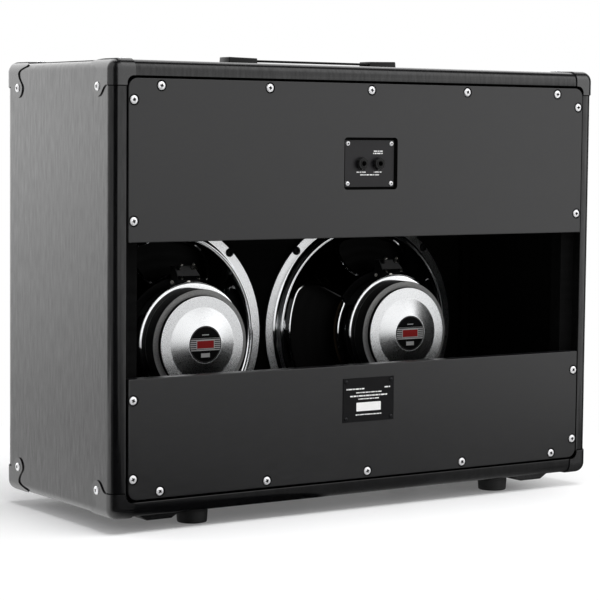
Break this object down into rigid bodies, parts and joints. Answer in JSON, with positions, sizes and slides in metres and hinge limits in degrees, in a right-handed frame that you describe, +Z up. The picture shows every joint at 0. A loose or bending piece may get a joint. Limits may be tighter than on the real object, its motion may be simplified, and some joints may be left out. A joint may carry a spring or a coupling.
{
  "type": "guitar speaker cabinet",
  "caption": "Wide vinyl-covered guitar speaker cabinet, half-open back with screwed panels, recessed jack plate, round drivers, corner protectors, feet and strap handle.",
  "frame": {"origin": "middle of the footprint on the floor, at the underside of the feet", "axes": "+Z up, +Y towards the open back, +X towards the left side as seen from behind"},
  "size_m": [0.747, 0.2849, 0.5734],
  "materials": {
    "plywood": "black stained plywood",
    "rear_panel_black": "satin black board",
    "vinyl": "black vinyl covering with a fine vertical grain",
    "grille_fabric": "black woven grille cloth",
    "bright_screw": "bright plated",
    "dark_screw": "black oxide",
    "black_plate": "satin black plate",
    "corner_plastic": "moulded black, fine texture",
    "jack_plastic": "black moulded",
    "foot_rubber": "black rubber",
    "frame_steel": "bright plated pressed steel",
    "bright_steel": "zinc plated steel",
    "ferrite": "matt dark ferrite",
    "cone_paper": "doped paper",
    "spider_cloth": "impregnated cloth",
    "gasket_board": "pressed board",
    "coil_wire": "copper winding on a former",
    "terminal_fibre": "dark fibre board",
    "tag_metal": "tinned brass",
    "strap_vinyl": "black moulded strap with a steel core"
  },
  "bodies": {
    "cabinet": {"top_board": "plywood", "bottom_board": "plywood", "left_board": "plywood", "right_board": "plywood", "vinyl_covering": "vinyl", "baffle_board": "plywood", "baffle_battens": "plywood", "rear_battens": "plywood", "grille_frame": "plywood", "grille_cloth": "grille_fabric", "upper_rear_panel": "rear_panel_black", "lower_rear_panel": "rear_panel_black", "panel_screws": "bright_screw", "jack_plate": "black_plate", "jack_plate_screws": "bright_screw", "jack_nuts": "dark_screw", "jack_contacts": "tag_metal", "data_plate": "black_plate", "data_plate_screws": "dark_screw", "speaker_gaskets": "gasket_board", "speaker_screws": "dark_screw", "terminal_boards": "terminal_fibre", "terminal_tags": "tag_metal", "corner_screws": "bright_screw", "rubber_feet": "foot_rubber", "foot_screws": "bright_screw", "rear_skids": "corner_plastic", "handle_strap_ends": "strap_vinyl", "handle_studs": "bright_steel", "corner_rear_top_left": "corner_plastic", "corner_rear_top_right": "corner_plastic", "corner_rear_bottom_left": "corner_plastic", "corner_rear_bottom_right": "corner_plastic", "corner_front_top_left": "corner_plastic", "corner_front_top_right": "corner_plastic", "corner_front_bottom_left": "corner_plastic", "corner_front_bottom_right": "corner_plastic", "left_jack_body": "jack_plastic", "left_handle_cap": "corner_plastic", "left_speaker_frame": "frame_steel", "left_top_plate": "bright_steel", "left_magnet": "ferrite", "left_yoke": "bright_steel", "left_surround": "cone_paper", "left_spider": "spider_cloth", "right_jack_body": "jack_plastic", "right_handle_cap": "corner_plastic", "right_speaker_frame": "frame_steel", "right_top_plate": "bright_steel", "right_magnet": "ferrite", "right_yoke": "bright_steel", "right_surround": "cone_paper", "right_spider": "spider_cloth"},
    "handle_strap": {"handle_grip": "strap_vinyl"},
    "left_cone_body": {"left_voice_coil": "coil_wire", "left_cone": "cone_paper", "left_dust_cap": "cone_paper"},
    "right_cone_body": {"right_voice_coil": "coil_wire", "right_cone": "cone_paper", "right_dust_cap": "cone_paper"}
  },
  "joints": [
    {"name": "handle_lift", "type": "slide", "parent": "cabinet", "child": "handle_strap", "axis": [0, 0, 1], "range_m": [0, 0.025], "deforming": ["handle_strap_ends"]},
    {"name": "left_cone_travel", "type": "slide", "parent": "cabinet", "child": "left_cone_body", "axis": [0, 1, 0], "range_m": [-0.003, 0.003], "stiffness_N_per_m": 400, "deforming": ["left_surround", "left_spider"]},
    {"name": "right_cone_travel", "type": "slide", "parent": "cabinet", "child": "right_cone_body", "axis": [0, 1, 0], "range_m": [-0.003, 0.003], "stiffness_N_per_m": 400, "deforming": ["right_surround", "right_spider"]}
  ]
}
